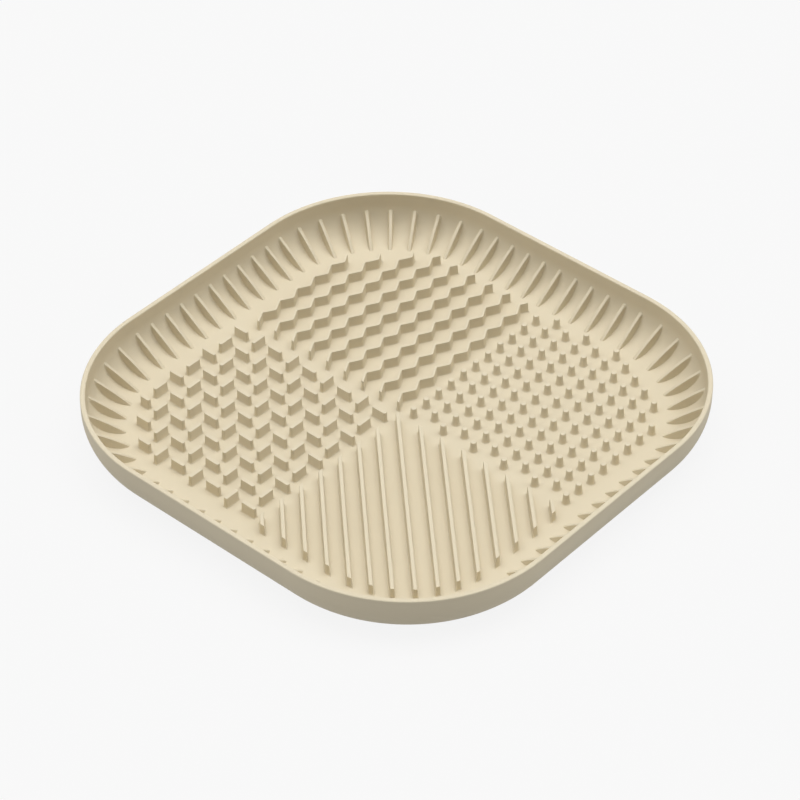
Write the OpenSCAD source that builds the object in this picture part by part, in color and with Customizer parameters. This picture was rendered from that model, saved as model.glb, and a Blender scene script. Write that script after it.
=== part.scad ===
// Pet lick bowl: a shallow rounded-square tray of soft silicone. Four fields of licking
// texture stand on its floor and a ring of fins stands in the curve of its wall.
// X points right, Y points back, Z points up; the tray rests on z = 0, centred on the axes.

/* [Tray] */
// Width across the rim, the same both ways
tray_w = 195; // [185:1:205]
// Height from the table to the top of the rim
tray_h = 19.5; // [18:0.5:22]
// Corner radius of the outer edge of the rim
corner_r = 60; // [55:0.5:62]
// Thickness of the floor
floor_t = 2.5; // [1.5:0.1:4]
// Thickness of the wall, square to its face; the rim is its rounded edge
wall_t = 1.9; // [1.4:0.1:3]
// Lean of the wall away from upright, in degrees
wall_lean = 0; // [0:0.5:10]
// Radius of the hollow curve from the floor into the wall
hollow_r = 12.5; // [11:0.5:14]
// Radius of the outer bottom edge
foot_r = 15.5; // [12:0.5:16]
// Bare floor between the feet of the fins and the seam of floor and wall
seam_gap = 0.5; // [0.2:0.1:1]

/* [Fins] */
// Number of fins along each straight side
side_fins = 10; // [5:1:12]
// Shift of a side's row of fins towards the front right corner
fin_shift = 1.8; // [0:0.1:3]
// Number of fins round the back left corner; each other corner has one less
corner_fins = 10; // [5:1:10]
// Turn from the end of a corner to its nearest fin, in degrees
near_turn = 3; // [2:0.5:5]
// The same turn at an end that the shifted rows leave wider
far_turn = 9; // [6:0.5:10]
// Thickness of a fin
fin_t = 1.5; // [0.8:0.1:2]
// Drop from the top of the rim to the top of a fin
fin_drop = 7; // [5:0.5:8]
// Reach of a fin's foot over the flat floor
fin_reach = 1.7; // [0.5:0.1:2.5]

/* [Licking fields] */
// Height of every texture above the floor
texture_h = 4.2; // [2.5:0.1:6]
// Half the width of the bare cross between the fields
cross_gap = 1.5; // [1:0.1:3]
// Bare strip between the fields and the feet of the fins
edge_gap = 3.9; // [2.5:0.1:6]
// Corner radius of the outline that the four fields fill
field_corner_r = 36.7; // [34:0.1:40]

/* [Zigzag ridges] */
// Number of ridges
zigzag_count = 9; // [5:1:9]
// Distance between ridges
zigzag_pitch = 8.65; // [7:0.05:8.8]
// Length of one full wave
zigzag_wave = 9.55; // [7:0.05:14]
// Sideways swing of a ridge's centre line
zigzag_swing = 2.7; // [1:0.1:4]
// Thickness of a ridge, square to its face
zigzag_t = 1.1; // [0.6:0.1:1.8]
// Distance from the bowl's middle line to the near ends of the ridges
zigzag_gap = 2.9; // [1.5:0.1:5]
// Distance from the bowl's middle to the slanting line that cuts the ridges off at the corner
zigzag_reach = 90.5; // [84:0.5:94]

/* [Bars] */
// Number of bars each way
bar_count = 9; // [5:1:9]
// Size of the square cell that holds one bar
bar_cell = 8.55; // [8.2:0.05:8.8]
// Distance from the bowl's middle lines to the middle of the first bars
bar_start = 4.5; // [4:0.1:6]
// Length of a bar
bar_l = 6.3; // [4:0.1:6.4]
// Thickness of a bar
bar_t = 1.6; // [0.8:0.1:1.6]

/* [Pegs] */
// Number of columns of pegs
peg_columns = 11; // [6:1:11]
// Distance between columns
peg_column_pitch = 7.05; // [5.5:0.05:7.1]
// Distance between pegs in a column
peg_row_pitch = 6.95; // [5.5:0.05:9]
// Distance from the bowl's middle lines to the first column and row
peg_start = 4.2; // [3:0.1:5]
// Diameter of a peg at the floor
peg_foot_d = 2.9; // [2.3:0.1:4]
// Diameter of a peg at its top
peg_top_d = 2; // [1:0.1:2.2]

/* [Ribs] */
// Number of ribs on each side of the middle one
ribs_each_side = 7; // [3:1:7]
// Distance between ribs, square to them
rib_pitch = 7.2; // [5:0.1:7.3]
// Thickness of a rib
rib_t = 1.5; // [0.8:0.1:2.5]

/* [Hidden] */
$fn = 96;

silicone = [0.89, 0.84, 0.73];

// Half length of a straight side, which is also where the corner centres lie
straight_half = tray_w / 2 - corner_r;

// Wall section, drawn as distance out from the corner centre against height.
// out_dir points square out of the wall's outer face.
out_dir = [cos(wall_lean), -sin(wall_lean)];
lip_r = wall_t / 2;
lip_mid = [corner_r - lip_r, tray_h - lip_r];
outer_reach = out_dir * lip_mid + lip_r;
inner_reach = out_dir * lip_mid - lip_r;
// Distance out, at height z, of the line that lies at this reach along out_dir
function wall_x(reach, z) = (reach - out_dir[1] * z) / out_dir[0];
foot_mid = [wall_x(outer_reach - foot_r, foot_r), foot_r];
hollow_z = floor_t + hollow_r;
hollow_mid = [wall_x(inner_reach - hollow_r, hollow_z), hollow_z];
// Section of a fin: its crest runs from the wall down to the flat floor
fin_top_z = tray_h - fin_drop;
fin_top = [wall_x(inner_reach, fin_top_z), fin_top_z];
fin_foot = [hollow_mid[0] - fin_reach, floor_t];
fin_root = [wall_x(inner_reach, floor_t), floor_t];
// A shifted row comes this close to the end of its side
fin_end_gap = 0.3;
fin_row_half = straight_half - fin_t / 2 - fin_end_gap - fin_shift;
fin_pitch = 2 * fin_row_half / (side_fins - 1);

// Rounded squares that hold the flat plate of the floor and the licking fields
plate_r = fin_foot[0] - seam_gap;
field_half = straight_half + fin_foot[0] - edge_gap;
field_mid = field_half - field_corner_r;

// Along a ridge's slope its thickness is wider when measured along X
zigzag_slope = atan(2 * zigzag_swing / zigzag_wave);
zigzag_w = zigzag_t / cos(zigzag_slope);
zigzag_first = cross_gap + (zigzag_swing + zigzag_w) / 2;
zigzag_bends = ceil(2 * (field_half - zigzag_gap) / zigzag_wave) + 1;

// Whether a point of the quadrant x, y > 0 lies inside the outline of the fields
function in_field(x, y) =
    norm([max(x - field_mid, 0), max(y - field_mid, 0)]) < field_corner_r;

// Square of half width half with corners of radius r
module rounded_square(half, r) {
    square([2 * (half - r), 2 * half], center = true);
    square([2 * half, 2 * (half - r)], center = true);
    for (x = [-1, 1], y = [-1, 1])
        translate([x * (half - r), y * (half - r)])
            circle(r);
}

// Quarter of the field outline, clear of the bare cross, in the quadrant of signs sx and sy
module field_quarter(sx, sy) {
    intersection() {
        rounded_square(field_half, field_corner_r);
        translate([sx > 0 ? cross_gap : -field_half, sy > 0 ? cross_gap : -field_half])
            square(field_half - cross_gap);
    }
}

// Cross-section of the wall: rounded rim, upright or leaning wall, hollow inside, rounded bottom edge
module wall_section() {
    difference() {
        union() {
            polygon([
                [plate_r, 0], [foot_mid[0], 0], foot_mid + foot_r * out_dir,
                lip_mid + lip_r * out_dir, lip_mid - lip_r * out_dir,
                hollow_mid + hollow_r * out_dir, [hollow_mid[0], floor_t], [plate_r, floor_t]
            ]);
            intersection() {
                translate(foot_mid)
                    circle(foot_r);
                translate([foot_mid[0], 0])
                    square(foot_r);
            }
        }
        translate(hollow_mid)
            circle(hollow_r);
    }
    translate(lip_mid)
        circle(lip_r);
}

// Cross-section of a fin, seated on the flat floor and on the hollow curve
module fin_section() {
    difference() {
        intersection() {
            polygon([fin_foot, fin_root, fin_top]);
            translate(hollow_mid)
                circle(hollow_r + wall_t / 2);
        }
        wall_section();
    }
}

// Stands a section on the straight side at +X, as a slice of this length along Y
module side_slice(length) {
    translate([straight_half, length / 2, 0])
        rotate([90, 0, 0])
            linear_extrude(length)
                children();
}

// Fins along the side that lies this many quarter turns on from +X, moved by shift along it
module straight_fins(quarter, shift) {
    color(silicone)
        rotate(90 * quarter)
            for (i = [0 : side_fins - 1])
                translate([0, i * fin_pitch - fin_row_half + shift, 0])
                    side_slice(fin_t)
                        fin_section();
}

// This many fins fanned round the corner that lies this many quarter turns on from the back right
// one, from the turn first to the turn last
module turned_fins(quarter, count, first, last) {
    color(silicone)
        rotate(90 * quarter)
            translate([straight_half, straight_half, 0])
                for (i = [0 : count - 1])
                    intersection() {
                        rotate_extrude(angle = 90)
                            fin_section();
                        rotate(first + i * (last - first) / (count - 1))
                            translate([0, -fin_t / 2, 0])
                                cube([corner_r, fin_t, tray_h]);
                    }
}

module base_plate() {
    color(silicone)
        linear_extrude(floor_t)
            rounded_square(straight_half + plate_r, plate_r);
}

module side_wall() {
    color(silicone)
        for (quarter = [0 : 3])
            rotate(90 * quarter) {
                side_slice(2 * straight_half)
                    wall_section();
                translate([straight_half, straight_half, 0])
                    rotate_extrude(angle = 90)
                        wall_section();
            }
}

// One ridge: a band that bends from side to side every half wave, cut off at the field's edge
module zigzag_ridge(x) {
    bends = [for (i = [0 : zigzag_bends])
        [x + (i % 2 == 0 ? 1 : -1) * zigzag_swing / 2, zigzag_gap + i * zigzag_wave / 2]];
    half_w = [zigzag_w / 2, 0];
    linear_extrude(texture_h)
        intersection() {
            polygon(concat(
                [for (i = [0 : zigzag_bends]) bends[i] + half_w],
                [for (i = [zigzag_bends : -1 : 0]) bends[i] - half_w]
            ));
            field_quarter(-1, 1);
            rotate(45)
                square(2 * zigzag_reach, center = true);
        }
}

module zigzag_ridges() {
    color(silicone)
        translate([0, 0, floor_t])
            for (i = [0 : zigzag_count - 1])
                zigzag_ridge(-(zigzag_first + i * zigzag_pitch));
}

// Short bars in square cells, lying along X and along Y by turns like parquet
module parquet_bars() {
    color(silicone)
        translate([0, 0, floor_t])
            for (i = [0 : bar_count - 1], j = [0 : bar_count - 1]) {
                x = bar_start + i * bar_cell;
                y = bar_start + j * bar_cell;
                if (in_field(x, y))
                    linear_extrude(texture_h)
                        intersection() {
                            translate([-x, -y])
                                square((i + j) % 2 == 0 ? [bar_l, bar_t] : [bar_t, bar_l], center = true);
                            rounded_square(field_half, field_corner_r);
                        }
            }
}

// Tapered pegs in columns, every other column set half a pitch on
module licking_pegs() {
    color(silicone)
        translate([0, 0, floor_t])
            for (i = [0 : peg_columns - 1]) {
                x = peg_start + i * peg_column_pitch;
                first_y = peg_start + (i % 2) * peg_row_pitch / 2;
                for (y = [first_y : peg_row_pitch : field_half])
                    if (in_field(x, y))
                        translate([x, y, 0])
                            cylinder(h = texture_h, d1 = peg_foot_d, d2 = peg_top_d);
            }
}

// Straight ribs that run from the middle towards the front right corner
module straight_ribs() {
    color(silicone)
        translate([0, 0, floor_t])
            for (i = [-ribs_each_side : ribs_each_side])
                linear_extrude(texture_h)
                    intersection() {
                        rotate(-45)
                            translate([0, i * rib_pitch - rib_t / 2])
                                square([2 * field_half, rib_t]);
                        field_quarter(1, -1);
                    }
}

base_plate();
side_wall();
straight_fins(0, -fin_shift);  // fins_right
straight_fins(1, -fin_shift);  // fins_back
straight_fins(2, fin_shift);  // fins_left
straight_fins(3, fin_shift);  // fins_front
turned_fins(0, corner_fins - 1, near_turn, 90 - far_turn);  // fins_back_right
turned_fins(1, corner_fins, near_turn, 90 - near_turn);  // fins_back_left
turned_fins(2, corner_fins - 1, far_turn, 90 - near_turn);  // fins_front_left
turned_fins(3, corner_fins - 1, far_turn, 90 - far_turn);  // fins_front_right
zigzag_ridges();
parquet_bars();
licking_pegs();
straight_ribs();
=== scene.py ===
# %% [markdown]
# # A silicone lick bowl
# The object is a shallow rounded-square tray, moulded in one go from soft beige silicone. Its floor
# holds four fields of licking texture (zigzag ridges, short bars, pegs and straight ribs), and fins
# stand in the curve of its wall. The frame gives every piece at its real size, in metres. Here each
# piece is drawn again with the soft edges of a moulding, in the place where the frame has it.

# %% Load the frame
import math

import bpy
import numpy as np
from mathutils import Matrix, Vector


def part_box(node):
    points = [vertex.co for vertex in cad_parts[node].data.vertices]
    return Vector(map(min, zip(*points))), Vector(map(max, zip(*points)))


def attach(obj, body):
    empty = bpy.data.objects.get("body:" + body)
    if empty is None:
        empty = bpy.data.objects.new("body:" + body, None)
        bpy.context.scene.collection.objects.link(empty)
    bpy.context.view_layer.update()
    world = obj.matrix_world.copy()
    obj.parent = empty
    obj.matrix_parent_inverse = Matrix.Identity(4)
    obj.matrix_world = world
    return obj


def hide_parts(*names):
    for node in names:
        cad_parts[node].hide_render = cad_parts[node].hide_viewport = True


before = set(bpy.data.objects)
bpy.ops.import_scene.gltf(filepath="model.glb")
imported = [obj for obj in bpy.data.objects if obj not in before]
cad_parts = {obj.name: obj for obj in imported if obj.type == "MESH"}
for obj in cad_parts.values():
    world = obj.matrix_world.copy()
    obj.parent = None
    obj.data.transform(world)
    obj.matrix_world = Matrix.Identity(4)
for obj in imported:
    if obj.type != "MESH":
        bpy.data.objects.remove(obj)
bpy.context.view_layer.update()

# %% [markdown]
# ## The camera
# The camera looks down on one corner of the bowl from far away, through a long lens, so the near and
# far sides keep almost the same scale. Two angles, a distance and the point it looks at place it.

# %% Camera
CAMERA_TURN = math.radians(41.24)
CAMERA_RISE = math.radians(40.57)
CAMERA_DISTANCE = 1.1329
CAMERA_AIM = np.array([-0.00538, 0.00764, 0.0025])
LENS_MM = 140.52

camera_back = np.array([
    math.sin(CAMERA_TURN) * math.cos(CAMERA_RISE),
    -math.cos(CAMERA_TURN) * math.cos(CAMERA_RISE),
    math.sin(CAMERA_RISE),
])
camera_data = bpy.data.cameras.new("camera")
camera_data.lens = LENS_MM
camera = bpy.data.objects.new("camera", camera_data)
camera.location = CAMERA_AIM + CAMERA_DISTANCE * camera_back
camera.rotation_euler = (math.pi / 2 - CAMERA_RISE, 0, CAMERA_TURN)
bpy.context.scene.collection.objects.link(camera)
bpy.context.scene.camera = camera
print("camera at", np.round(camera.location, 4))

# %% [markdown]
# ## Sums on sockets
# A finish is worked out by nodes. Drawing them one by one is long-winded, so a small class wraps a
# socket: a Python sum on it adds the Math node that does the sum, and `make` adds any other node.

# %% Socket class
class Socket:
    """An output socket of a node tree. Sums on it add Math nodes, and make adds any other node."""

    def __init__(self, tree, output=None):
        self.tree = tree
        self.output = output

    def make(self, kind, settings=None, inputs=None, output=0):
        """Add a node: its settings come first, then the values or links of its inputs."""
        node = self.tree.nodes.new(kind)
        for name, value in (settings or {}).items():
            setattr(node, name, value)
        for name, value in (inputs or {}).items():
            if isinstance(value, Socket):
                self.tree.links.new(value.output, node.inputs[name])
            else:
                node.inputs[name].default_value = value
        return Socket(self.tree, node.outputs[output])

    def sum(self, operation, first, second):
        """A Math node on two numbers, either of which may be a socket."""
        return self.make("ShaderNodeMath", {"operation": operation}, {0: first, 1: second})

    def __add__(self, other):
        return self.sum("ADD", self, other)

    __radd__ = __add__

    def __sub__(self, other):
        return self.sum("SUBTRACT", self, other)

    def __rsub__(self, other):
        return self.sum("SUBTRACT", other, self)

    def __mul__(self, other):
        return self.sum("MULTIPLY", self, other)

    __rmul__ = __mul__


def new_material(name):
    """An empty material, its tree as a Socket to start from, and its output node."""
    material = bpy.data.materials.new(name)
    material.use_nodes = True
    material.node_tree.nodes.clear()
    output = material.node_tree.nodes.new("ShaderNodeOutputMaterial")
    return material, Socket(material.node_tree), output


print("sums on sockets: add, subtract and multiply")

# %% [markdown]
# ## The silicone
# Moulded silicone is matt and even, but never perfectly so: the colour drifts a little from place to
# place, and fine dust and the grain of the mould make it less smooth than polished plastic. Three
# noises at three scales do this: a slow one for the drift, a middle one for dull and less dull
# patches, and a fine one for the grain, which also roughens the surface as a bump.

# %% Silicone material
SILICONE_DARK = (0.636, 0.560, 0.410, 1)
SILICONE_LIGHT = (0.690, 0.615, 0.457, 1)
DRIFT_SIZE = 0.030
PATCH_SIZE = 0.004
GRAIN_SIZE = 0.00035
DRIFT_DETAIL = 2
PATCH_DETAIL = 3
GRAIN_DETAIL = 2
DRIFT_SHARE = 0.55
PATCH_SHARE = 0.25
GRAIN_SHARE = 0.20
GRAIN_DEPTH = 0.00003
GRAIN_STRENGTH = 0.35
LEAST_ROUGHNESS = 0.52
ROUGHNESS_RANGE = 0.16
SILICONE_IOR = 1.41

silicone, start, silicone_output = new_material("silicone")
place = start.make("ShaderNodeTexCoord", output="Object")


def noise(size, detail):
    """Noise whose lumps are about this size, in metres, from 0 to 1."""
    inputs = {"Vector": place, "Scale": 1 / size, "Detail": detail}
    return place.make("ShaderNodeTexNoise", None, inputs)


drift = noise(DRIFT_SIZE, DRIFT_DETAIL)
patches = noise(PATCH_SIZE, PATCH_DETAIL)
grain = noise(GRAIN_SIZE, GRAIN_DETAIL)
tone = DRIFT_SHARE * drift + PATCH_SHARE * patches + GRAIN_SHARE * grain
colour = place.make(
    "ShaderNodeMix",
    {"data_type": "RGBA"},
    {"Factor": tone, "A": SILICONE_DARK, "B": SILICONE_LIGHT},
    output="Result",
)
bump = place.make("ShaderNodeBump", None, {
    "Height": grain,
    "Distance": GRAIN_DEPTH,
    "Strength": GRAIN_STRENGTH,
})
shader = place.make("ShaderNodeBsdfPrincipled", None, {
    "Base Color": colour,
    "Roughness": LEAST_ROUGHNESS + ROUGHNESS_RANGE * patches,
    "Normal": bump,
    "IOR": SILICONE_IOR,
})
silicone.node_tree.links.new(shader.output, silicone_output.inputs["Surface"])
print("silicone nodes:", len(silicone.node_tree.nodes))

# %% [markdown]
# ## Plan points as complex numbers
# Everything on this bowl is a section carried along a line, so it pays to write points of the plan
# as complex numbers: x is the real part and y the imaginary one. A quarter turn is then a product
# with 1j, and the direction square to another one is that direction times 1j. Sections are written
# the same way, with the distance out from the middle as the real part and the height as the other.
# Whatever stands on the floor or the wall reaches a little way into it, so that no gap can show.

# %% Mesh helpers
SINK = 0.0003


def ring_faces(rings, around):
    """Quads of a stack of closed rings, with a strip of quads across the first and the last ring.

    A ring's points go up one side and back down the other, so that point k of the first half lies
    across from point around - 1 - k, and the strips join those pairs.
    """
    ring, step = np.meshgrid(np.arange(rings - 1), np.arange(around), indexing="ij")
    here = ring * around + step
    beside = ring * around + (step + 1) % around
    walls = np.stack([here, beside, beside + around, here + around], -1).reshape(-1, 4)
    k = np.arange(around // 2 - 1)
    strip = np.stack([k, k + 1, around - 2 - k, around - 1 - k], -1)
    return np.concatenate([walls, strip[:, ::-1], strip + (rings - 1) * around])


def add_piece(name, solids, *nodes):
    """Make one piece from solids and put it in the place of these nodes of the frame.

    Each solid is a pair of arrays, the plan as complex numbers and the height, whose last two axes
    are rings and points round a ring. Axes before those two are copies of the solid.
    """
    points = []
    faces = []
    count = 0
    for plan, height in solids:
        plan, height = np.broadcast_arrays(plan, height)
        rings, around = plan.shape[-2:]
        copies = plan.size // (rings * around)
        points.append(np.stack([plan.real, plan.imag, height], -1).reshape(-1, 3))
        starts = count + rings * around * np.arange(copies)
        faces.append((ring_faces(rings, around) + starts[:, None, None]).reshape(-1, 4))
        count += plan.size
    mesh = bpy.data.meshes.new(name)
    mesh.from_pydata(np.concatenate(points), [], np.concatenate(faces))
    mesh.shade_smooth()
    mesh.materials.append(silicone)
    piece = bpy.data.objects.new(name, mesh)
    bpy.context.scene.collection.objects.link(piece)
    piece.modifiers.new("even_shading", "WEIGHTED_NORMAL")
    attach(piece, "root")
    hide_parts(*nodes)
    print(name, "vertices", len(mesh.vertices), "faces", len(mesh.polygons))


def arc(middle, radius, start_angle, end_angle, steps):
    """Points of a round stretch: the middle plus the radius times a turning unit direction."""
    return middle + radius * np.exp(1j * np.linspace(start_angle, end_angle, steps))


print("feet reach in by mm:", 1000 * SINK)

# %% [markdown]
# ## The tray
# The floor and wall are one skin, so one surface stands for both. Its section starts at the edge of
# the underside, rounds the foot, climbs the upright wall, goes over the thin flat rim with its two
# small edge rounds, and comes down the hollow inside to the floor.

# %% Tray section
CORNER_R = 0.0600
WALL_T = 0.0019
LIP_R = 0.0005
HOLLOW_R = 0.0125
FOOT_R = 0.0155
FOOT_STEPS = 20
LIP_STEPS = 7
HOLLOW_STEPS = 22

tray_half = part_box("side_wall")[1].x
tray_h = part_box("side_wall")[1].z
floor_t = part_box("base_plate")[1].z
straight_half = tray_half - CORNER_R

wall_inside = CORNER_R - WALL_T
foot_mid = CORNER_R - FOOT_R + 1j * FOOT_R
outer_lip = CORNER_R - LIP_R + 1j * (tray_h - LIP_R)
inner_lip = wall_inside + LIP_R + 1j * (tray_h - LIP_R)
hollow_mid = wall_inside - HOLLOW_R + 1j * (floor_t + HOLLOW_R)
tray_section = np.concatenate([
    arc(foot_mid, FOOT_R, -math.pi / 2, 0, FOOT_STEPS),
    arc(outer_lip, LIP_R, 0, math.pi / 2, LIP_STEPS),
    arc(inner_lip, LIP_R, math.pi / 2, math.pi, LIP_STEPS),
    arc(hollow_mid, HOLLOW_R, 0, -math.pi / 2, HOLLOW_STEPS),
])
print("tray section points:", len(tray_section))

# %% [markdown]
# The section is carried round a rounded square: a point at distance d from the core lies at
# core + d * out, where the core runs along a straight side or waits at the centre of a corner while
# the direction out turns through a right angle. The floor is a very shallow dish, lower in the
# middle by a little over half a millimetre. The hollow follows the dish at its foot, and less and
# less further up. Inside its foot the last ring is repeated at a smaller and smaller scale, down to
# the middle.

# %% Tray surface
SIDE_STEPS = 12
CORNER_STEPS = 48
FLOOR_SCALES = np.linspace(0.9, 0.1, 9)
DISH_RISE = 0.0006
DISH_DROP = 0.00025
DISH_R = 0.080


def dish(plan):
    """How far the dish lies above the frame's flat floor, below zero in the middle.

    It grows with the square of the distance from the middle out to DISH_R, and is even from there.
    """
    return DISH_RISE * np.minimum(abs(plan) / DISH_R, 1) ** 2 - DISH_DROP


def side_line(quarter, offsets):
    """Core points and outward directions along the straight side, in quarter turns from +X."""
    turn = 1j ** quarter
    return (straight_half + 1j * offsets) * turn, np.full(offsets.shape, turn)


def corner_line(quarter, angles):
    """Core points and outward directions round the corner, in quarter turns from the +X +Y one."""
    turn = 1j ** quarter
    return np.full(angles.shape, straight_half * (1 + 1j) * turn), np.exp(1j * angles) * turn


side_offsets = np.linspace(-straight_half, straight_half, SIDE_STEPS, endpoint=False)
corner_angles = np.linspace(0, math.pi / 2, CORNER_STEPS, endpoint=False)
stretches = []
for quarter in range(4):
    stretches.append(side_line(quarter, side_offsets))
    stretches.append(corner_line(quarter, corner_angles))
core = np.concatenate([stretch[0] for stretch in stretches])
out = np.concatenate([stretch[1] for stretch in stretches])
tray_plan = core + tray_section.real[:, None] * out
hollow_share = np.clip((hollow_mid.imag - tray_section.imag) / HOLLOW_R, 0, 1) ** 2
hollow_share[:-HOLLOW_STEPS] = 0
tray_height = tray_section.imag[:, None] + hollow_share[:, None] * dish(tray_plan)
floor_plan = FLOOR_SCALES[:, None] * tray_plan[-1]
tray_plan = np.concatenate([tray_plan, floor_plan])
tray_height = np.concatenate([tray_height, floor_t + dish(floor_plan)])
add_piece("tray", [(tray_plan, tray_height)], "base_plate", "side_wall")

# %% [markdown]
# ## The fins
# A fin fills the hollow curve between floor and wall up to a hardly bent crest. Its surface has two
# parameters: how far along the crest, and how far round its section, from the foot of one side over
# the rounded crest to the foot of the other. The depth of the section is the distance from the crest
# to the wall behind it, so the fin runs out to nothing at both ends, as a moulded one does.

# %% Fin section
FIN_T = 0.0015
FIN_DRAFT = 0.0001
FIN_EDGE_R = 0.00025
FIN_FILLET = 0.00045
FIN_DROP = 0.0070
FIN_REACH = 0.0017
FIN_BULGE = 0.0004
FIN_STEPS = 19
EDGE_STEPS = 4

fin_foot = hollow_mid.real - FIN_REACH + 1j * floor_t
fin_top = wall_inside + 1j * (tray_h - FIN_DROP)
crest_along = (fin_top - fin_foot) / abs(fin_top - fin_foot)
crest_in = -1j * crest_along
crest_turn = np.linspace(0, math.pi, FIN_STEPS)
crest = fin_foot + (fin_top - fin_foot) * (1 - np.cos(crest_turn)) / 2
crest = crest - FIN_BULGE * np.sin(crest_turn) ** 2 * crest_in

from_mid = crest - hollow_mid
inward = (from_mid * np.conj(crest_in)).real
to_hollow = -inward + np.sqrt(np.maximum(inward ** 2 - abs(from_mid) ** 2 + HOLLOW_R ** 2, 0))
to_floor = (floor_t - crest.imag) / crest_in.imag
on_floor = (crest + to_floor * crest_in).real < hollow_mid.real
fin_depth = np.maximum(np.where(on_floor, to_floor, to_hollow), 0)[:, None]

bend = np.linspace(math.pi / 2, 0, EDGE_STEPS)
fillet_side = FIN_T / 2 + FIN_DRAFT + FIN_FILLET * (1 - np.cos(bend))
fillet_depth = fin_depth - FIN_FILLET * (1 - np.sin(bend))
edge_side = FIN_T / 2 - FIN_DRAFT - FIN_EDGE_R * (1 - np.cos(bend[::-1]))
edge_depth = np.broadcast_to(FIN_EDGE_R * (1 - np.sin(bend[::-1])), (FIN_STEPS, EDGE_STEPS))
half_side = np.concatenate([fillet_side[:1], fillet_side, edge_side])
half_depth = np.concatenate([
    np.maximum(fin_depth + SINK, FIN_EDGE_R + SINK),
    np.maximum(fillet_depth, FIN_EDGE_R),
    edge_depth,
], axis=1)
fin_side = np.concatenate([half_side, -half_side[::-1]])
fin_section = crest[:, None] + crest_in * np.concatenate([half_depth, half_depth[:, ::-1]], axis=1)
print("deepest fin in mm:", round(1000 * fin_depth.max(), 2))

# %% [markdown]
# The fins stand in a row along each side and in a fan round each corner. They aren't quite evenly
# spread: all four rows lie a little nearer to the front right corner, the back left fan has one fin
# more than the others, and each fan keeps its own distance from the rows beside it.

# %% Fins round the wall
SIDE_FINS = 10
CORNER_FINS = 9
BACK_LEFT_FINS = 10
FIN_PITCH = 0.0077
FIN_SHIFT = 0.0018
NEAR_TURN = math.radians(3)
FAR_TURN = math.radians(9)

fin_offsets = FIN_PITCH * (np.arange(SIDE_FINS) - (SIDE_FINS - 1) / 2)


def stand_fins(name, line):
    """Put a fin at each place of the line: core + distance * out + side * (out turned left)."""
    core, out = (values[:, None, None] for values in line)
    plan = core + fin_section.real * out + fin_side * 1j * out
    add_piece(name.replace("fins", "fin_row"), [(plan, fin_section.imag)], name)


def corner_fins(name, quarter, first, last, count):
    """Fan this many fins round a corner, evenly from the angle first to last short of its end."""
    stand_fins(name, corner_line(quarter, np.linspace(first, math.pi / 2 - last, count)))


stand_fins("fins_right", side_line(0, fin_offsets - FIN_SHIFT))
stand_fins("fins_back", side_line(1, fin_offsets - FIN_SHIFT))
stand_fins("fins_left", side_line(2, fin_offsets + FIN_SHIFT))
stand_fins("fins_front", side_line(3, fin_offsets + FIN_SHIFT))
corner_fins("fins_back_right", 0, NEAR_TURN, FAR_TURN, CORNER_FINS)
corner_fins("fins_back_left", 1, NEAR_TURN, NEAR_TURN, BACK_LEFT_FINS)
corner_fins("fins_front_left", 2, FAR_TURN, NEAR_TURN, CORNER_FINS)
corner_fins("fins_front_right", 3, FAR_TURN, FAR_TURN, CORNER_FINS)

# %% [markdown]
# ## Raised lines
# Ribs, bars and zigzags are all the same thing: a thin wall that follows a line on the floor, with a
# small fillet at its foot, a little draft so that it leaves the mould, and rounded top edges. Each
# one is a stack of outlines. An outline is the line moved to both sides by half the thickness less an
# inset, and the inset grows up the stack: below zero in the fillet, above zero round the top edge.
# The ends move in by the same inset, and their corners are rounded in the plan as well. The whole
# stack rises and falls with the dish of the floor.

# %% Raised line
LINE_FILLET = 0.00035
LINE_DRAFT = 0.00005
LINE_EDGE_R = 0.00020
LEAST_HALF = 0.00006
STACK_STEPS = 3
END_STEPS = 3

texture_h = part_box("straight_ribs")[1].z - floor_t
stack_bend = np.linspace(0, math.pi / 2, STACK_STEPS)
end_turn = np.linspace(0, math.pi / 2, END_STEPS)
stack_inset = np.concatenate([
    [-LINE_FILLET - LINE_DRAFT],
    -LINE_DRAFT - LINE_FILLET * (1 - np.sin(stack_bend)),
    LINE_DRAFT + LINE_EDGE_R * (1 - np.cos(stack_bend)),
])
stack_z = floor_t + np.concatenate([
    [-SINK],
    LINE_FILLET * (1 - np.cos(stack_bend)),
    texture_h - LINE_EDGE_R * (1 - np.sin(stack_bend)),
])


def raised_line(line, square, half_t, end_r, slant):
    """Solids that follow lines on the floor.

    line holds points of the centre lines and square the directions square to them, to the right.
    The END_STEPS points at each end make the end: they move in by the inset, and the thickness
    there follows a round corner of radius end_r. slant is how far an end leans along the line for
    each step to the side.
    """
    count = line.shape[-1]
    end = np.zeros(count)
    end[:END_STEPS], end[-END_STEPS:] = 1, -1
    thinner = np.zeros(count)
    thinner[:END_STEPS] = end_r * (1 - np.sin(end_turn))
    thinner[-END_STEPS:] = thinner[END_STEPS - 1::-1]
    inset = stack_inset[:, None]
    line, square, slant = (values[..., None, :] for values in (line, square, slant))
    forward = 1j * square
    middle = line + inset * end * forward
    side = np.maximum(half_t - inset - thinner, LEAST_HALF) * (square + slant * forward)
    plan = np.concatenate([middle + side, (middle - side)[..., ::-1]], axis=-1)
    return plan, stack_z[:, None] + dish(plan)


def straight_lines(first, last, half_t, end_r, first_slant, last_slant):
    """Solids that follow straight lines from first to last, with ends that may be slanted."""
    forward = ((last - first) / abs(last - first))[:, None]
    steps_in = end_r * (1 - np.cos(end_turn)) * forward
    line = np.concatenate([first[:, None] + steps_in, last[:, None] - steps_in[:, ::-1]], axis=-1)
    square = np.broadcast_to(-1j * forward, line.shape)
    slant = np.repeat(np.stack([first_slant, last_slant], -1), END_STEPS, axis=-1)
    return raised_line(line, square, half_t, end_r, slant)


print("height of the raised lines in mm:", round(1000 * texture_h, 2))

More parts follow.
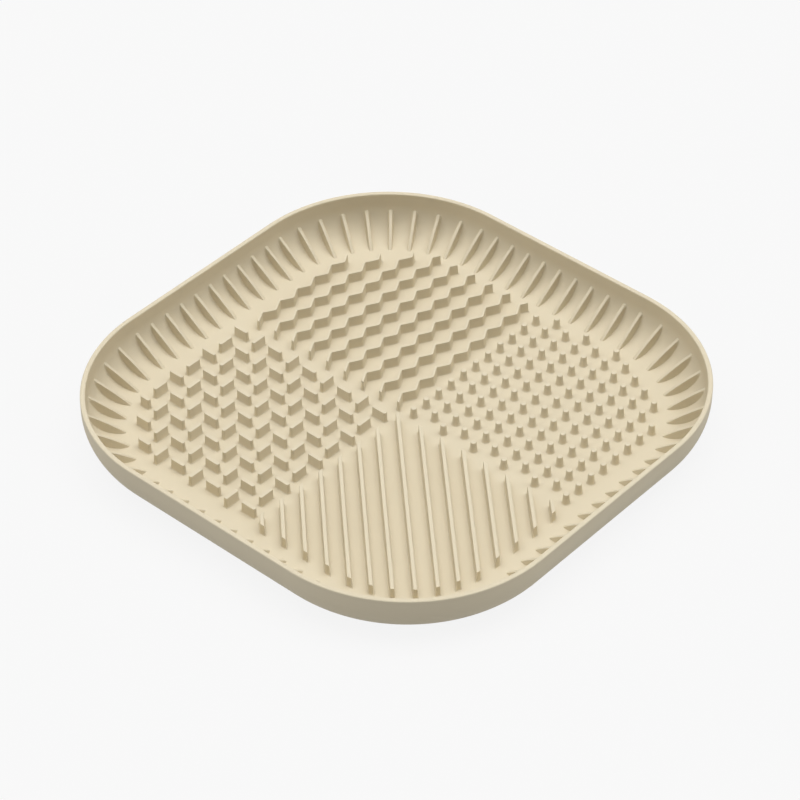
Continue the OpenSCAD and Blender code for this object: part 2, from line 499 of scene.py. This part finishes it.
# %% [markdown]
# ## The outline of the fields
# The four fields fill a rounded square that stops short of the fins' feet. Its corners are a little
# tighter than those of a line at an even distance from the wall. Two questions come up below: how far
# the outline reaches at some distance across it, and whether a place lies inside it.

# %% Outline of the fields
CROSS_GAP = 0.0015
EDGE_GAP = 0.0039
FIELD_CORNER_R = 0.0367
MOST_PAST = 0.99

field_half = straight_half + fin_foot.real - EDGE_GAP
field_mid = field_half - FIELD_CORNER_R


def field_edge(across):
    """How far the outline reaches at this distance across it, and how steeply it falls there."""
    past = np.clip(across - field_mid, 0, MOST_PAST * FIELD_CORNER_R)
    rise = np.sqrt(FIELD_CORNER_R ** 2 - past ** 2)
    return field_mid + rise, past / rise


def in_field(x, y):
    """Whether places with x and y above zero lie inside the outline."""
    past = np.hypot(np.maximum(x - field_mid, 0), np.maximum(y - field_mid, 0))
    return past < FIELD_CORNER_R


print("half width of the fields in mm:", round(1000 * field_half, 2))

# %% [markdown]
# ## Straight ribs
# The ribs run from the middle of the bowl to the front right corner. Their near ends are cut along
# the bare cross between the fields, and their far ends along the rounded edge of the floor, so each
# end has its own slant. The gaps on both sides of the middle rib are a touch wider than the rest.

# %% Straight ribs
RIB_PITCH = 0.00712
RIB_SPREAD = 0.0006
RIB_T = 0.0015
RIB_END_R = 0.0002
RIBS_EACH_SIDE = 7
LEAST_REACH = 0.000001

rib_along = np.exp(-0.25j * math.pi)
rib_number = np.arange(-RIBS_EACH_SIDE, RIBS_EACH_SIDE + 1)
rib_offset = RIB_PITCH * rib_number + RIB_SPREAD * np.sign(rib_number)
rib_start = math.sqrt(2) * CROSS_GAP + abs(rib_offset)
rib_to_arc = np.sqrt(np.maximum(FIELD_CORNER_R ** 2 - rib_offset ** 2, 0))
meets_arc = abs(rib_offset) < FIELD_CORNER_R * math.sin(math.pi / 4)
rib_end = np.where(
    meets_arc,
    math.sqrt(2) * field_mid + rib_to_arc,
    math.sqrt(2) * field_half - abs(rib_offset),
)
start_slant = -np.sign(rib_offset)
end_slant = np.where(
    meets_arc,
    rib_offset / np.maximum(rib_to_arc, LEAST_REACH),
    np.sign(rib_offset),
)
rib_places = rib_offset * 1j * rib_along
ribs = straight_lines(
    rib_places + rib_start * rib_along,
    rib_places + rib_end * rib_along,
    RIB_T / 2,
    RIB_END_R,
    start_slant,
    end_slant,
)
add_piece("rib_field", [ribs], "straight_ribs")

# %% [markdown]
# ## Short bars
# The bars lie in square cells, along X and along Y by turns, like parquet. A cell whose middle lies
# outside the outline of the fields stays empty, and a bar along X that would stick out of the
# outline is cut off there, with the slant of the outline.

# %% Short bars
BAR_COUNT = 9
BAR_CELL = 0.00855
BAR_START = 0.0045
BAR_L = 0.0063
BAR_T = 0.0016
BAR_END_R = 0.0005

column, row = np.meshgrid(np.arange(BAR_COUNT), np.arange(BAR_COUNT), indexing="ij")
bar_x = BAR_START + column * BAR_CELL
bar_y = BAR_START + row * BAR_CELL
filled = in_field(bar_x, bar_y)
bar_middle = -(bar_x + 1j * bar_y)[filled]
along_x = ((column + row) % 2 == 0)[filled]
bar_half = np.where(along_x, BAR_L / 2, 0.5j * BAR_L)
reach, fall = field_edge(-bar_middle.imag)
cut = np.where(along_x, np.maximum(BAR_L / 2 - bar_middle.real - reach, 0), 0)
cut_slant = np.where(cut > 0, np.minimum(fall, 1), 0)
bars = straight_lines(
    bar_middle - bar_half + cut,
    bar_middle + bar_half,
    BAR_T / 2,
    BAR_END_R,
    cut_slant,
    np.zeros(cut.shape),
)
add_piece("bar_field", [bars], "parquet_bars")

# %% [markdown]
# ## Zigzag ridges
# A zigzag is a straight line that bends by the same angle to either side. At each bend the centre
# line follows a short arc, so that the outer corner is well rounded and the inner one much less. A
# ridge ends at the far side of the field, or at a slanting line that takes off the corner.

# %% Zigzag ridges
ZIGZAG_COUNT = 9
ZIGZAG_PITCH = 0.00865
ZIGZAG_WAVE = 0.00955
ZIGZAG_SWING = 0.0027
ZIGZAG_T = 0.0011
ZIGZAG_END_R = 0.0003
ZIGZAG_GAP = 0.0029
ZIGZAG_REACH = 0.0905
END_MARGIN = 0.0006
BEND_R = 0.00080
BEND_STEPS = 5

slope = math.atan(2 * ZIGZAG_SWING / ZIGZAG_WAVE)
zigzag_first = CROSS_GAP + (ZIGZAG_SWING + ZIGZAG_T / math.cos(slope)) / 2
bend_count = math.ceil(2 * (field_half - ZIGZAG_GAP) / ZIGZAG_WAVE) + 1
swing_sign = 1 - 2 * (np.arange(1, bend_count) % 2)
bend_y = ZIGZAG_GAP + np.arange(1, bend_count) * ZIGZAG_WAVE / 2
bend_mid = swing_sign * (ZIGZAG_SWING / 2 - BEND_R / math.cos(slope)) + 1j * bend_y
bend_turn = np.linspace(-slope, slope, BEND_STEPS)
bend_square = np.cos(bend_turn) + 1j * swing_sign[:, None] * np.sin(bend_turn)
bend_line = (bend_mid[:, None] + BEND_R * swing_sign[:, None] * bend_square).ravel()
bend_square = bend_square.ravel()


def zigzag(x):
    """One ridge at this distance from the middle line: its bends up to the field's edge, and ends."""
    far_side = np.minimum(field_half, math.sqrt(2) * ZIGZAG_REACH + x + bend_line.real)
    kept = np.logical_and.accumulate(bend_line.imag + END_MARGIN < far_side)
    line, square = bend_line[kept], bend_square[kept]
    start_square, end_square = np.exp(1j * slope), square[-1]
    start = ZIGZAG_SWING / 2 + 1j * ZIGZAG_GAP
    forward = 1j * end_square
    reach = far_side[kept][-1]
    fall = 1 if reach < field_half else 0
    end = line[-1] + forward * (reach - line[-1].imag) / (forward.imag - fall * forward.real)
    steps_in = ZIGZAG_END_R * (1 - np.cos(end_turn))
    line = np.concatenate([
        start + steps_in * 1j * start_square, line, end - steps_in[::-1] * forward,
    ])
    square = np.concatenate([[start_square] * END_STEPS, square, [end_square] * END_STEPS])
    slant = np.zeros(line.shape)
    slant[:END_STEPS] = -start_square.imag / (1j * start_square).imag
    slant[-END_STEPS:] = (
        (fall * end_square.real - end_square.imag) / (forward.imag - fall * forward.real)
    )
    return raised_line(x + line, square, ZIGZAG_T / 2, ZIGZAG_END_R, slant)


zigzags = [zigzag(-(zigzag_first + i * ZIGZAG_PITCH)) for i in range(ZIGZAG_COUNT)]
add_piece("zigzag_field", zigzags, "zigzag_ridges")

# %% [markdown]
# ## Pegs
# The pegs are turned shapes: a radius that depends on the height, carried round a circle. They
# taper, with a small fillet at the foot and a rounded top, and stand in columns that are set half
# a step on by turns.

# %% Pegs
PEG_COLUMNS = 11
PEG_COLUMN_PITCH = 0.00705
PEG_ROW_PITCH = 0.00695
PEG_START = 0.0042
PEG_FOOT_R = 0.00148
PEG_TOP_R = 0.00112
PEG_FILLET = 0.00026
PEG_EDGE_R = 0.00028
FILLET_BEND = 0.2 + 0.4j
FILLET_TOP = 1.6
FOOT_TAPER = 0.0001
EDGE_BEND = 0.3
PEG_SIDES = 12

column, row = np.meshgrid(np.arange(PEG_COLUMNS), np.arange(PEG_COLUMNS + 1), indexing="ij")
peg_x = PEG_START + column * PEG_COLUMN_PITCH
peg_y = PEG_START + (row + 0.5 * (column % 2)) * PEG_ROW_PITCH
peg_places = (peg_x + 1j * peg_y)[in_field(peg_x, peg_y)]
peg_section = np.array([
    PEG_FOOT_R + PEG_FILLET - 1j * SINK,
    PEG_FOOT_R + PEG_FILLET,
    PEG_FOOT_R + FILLET_BEND * PEG_FILLET,
    PEG_FOOT_R - FOOT_TAPER + 1j * FILLET_TOP * PEG_FILLET,
    PEG_TOP_R + 1j * (texture_h - PEG_EDGE_R),
    PEG_TOP_R + 1j * texture_h - EDGE_BEND * PEG_EDGE_R * (1 + 1j),
    PEG_TOP_R + 1j * texture_h - PEG_EDGE_R,
])
peg_turn = np.exp(2j * math.pi * (np.arange(PEG_SIDES) + 0.5) / PEG_SIDES)
peg_plan = peg_places[:, None, None] + peg_section.real[:, None] * peg_turn
peg_height = floor_t + peg_section.imag[:, None] + dish(peg_plan)
add_piece("peg_field", [(peg_plan, peg_height)], "licking_pegs")

# %% [markdown]
# ## The floor
# The bowl stands on a plain pale floor. To the camera the floor is nearly white, with a faint trace
# of the bowl's shadow, and it throws light back on the wall as grey card would. A mirror or a glass
# would see the same pale floor as the camera does.

# %% Floor
PALE = 0.980
PALE_SHARE = 0.9
FLOOR_SIZE = 6.0
FLOOR_COLOUR = (0.52, 0.52, 0.52, 1)


def sees_backdrop(start):
    """1 for rays from the camera, and for those that a mirror or glass passes on, else 0."""
    ray = {
        name: start.make("ShaderNodeLightPath", output=name)
        for name in ("Is Camera Ray", "Is Glossy Ray", "Is Transmission Ray")
    }
    bounced = start.sum("MAXIMUM", ray["Is Glossy Ray"], ray["Is Transmission Ray"])
    return start.sum("MAXIMUM", ray["Is Camera Ray"], bounced)


floor_material, start, floor_output = new_material("pale_floor")
card = start.make("ShaderNodeBsdfDiffuse", None, {"Color": FLOOR_COLOUR})
backdrop = start.make("ShaderNodeEmission", None, {"Color": (PALE, PALE, PALE, 1)})
share = PALE_SHARE * sees_backdrop(start)
mixed = start.make("ShaderNodeMixShader", None, {0: share, 1: card, 2: backdrop})
floor_material.node_tree.links.new(mixed.output, floor_output.inputs["Surface"])

floor_mesh = bpy.data.meshes.new("floor")
floor_corners = FLOOR_SIZE / 2 * np.array([[-1, -1, 0], [1, -1, 0], [1, 1, 0], [-1, 1, 0]])
floor_mesh.from_pydata(floor_corners, [], [(0, 1, 2, 3)])
floor_mesh.materials.append(floor_material)
floor = bpy.data.objects.new("floor", floor_mesh)
bpy.context.scene.collection.objects.link(floor)
print("floor width in m:", FLOOR_SIZE)

# %% [markdown]
# ## The light
# The light is that of a photographer's tent: an even glow from all round, wide soft lamps overhead
# and high up at the left and the right, and weaker ones behind and low down on both sides. So the
# floor of the bowl and the crests are bright, and the faces that look at the camera lie in soft
# shade.

# %% World and lamps
FILL = 0.25
LAMP_SPREAD = math.radians(40)

world = bpy.data.worlds.new("studio")
bpy.context.scene.world = world
world.use_nodes = True
world.node_tree.nodes.clear()
sky = Socket(world.node_tree)
strength = FILL + (PALE - FILL) * sees_backdrop(sky)
background = sky.make("ShaderNodeBackground", None, {"Color": (1, 1, 1, 1), "Strength": strength})
world_output = world.node_tree.nodes.new("ShaderNodeOutputWorld")
world.node_tree.links.new(background.output, world_output.inputs["Surface"])


def soft_lamp(name, turn, rise, share):
    """A wide far-off lamp, turn degrees round from +X and rise degrees up from the floor.

    White paper square to it reflects this share of full white.
    """
    lamp = bpy.data.lights.new(name, "SUN")
    lamp.angle = LAMP_SPREAD
    lamp.energy = math.pi * share
    holder = bpy.data.objects.new(name, lamp)
    holder.rotation_euler = (math.radians(90 - rise), 0, math.radians(90 + turn))
    bpy.context.scene.collection.objects.link(holder)


soft_lamp("top_lamp", 0, 90, 0.305)
soft_lamp("left_lamp", 214, 64, 0.22)
soft_lamp("right_lamp", 54, 62, 0.28)
soft_lamp("back_lamp", 135, 66, 0.09)
soft_lamp("low_left_lamp", 240, 22, 0.10)
soft_lamp("low_right_lamp", 30, 22, 0.09)
bpy.context.scene.view_settings.view_transform = "Standard"
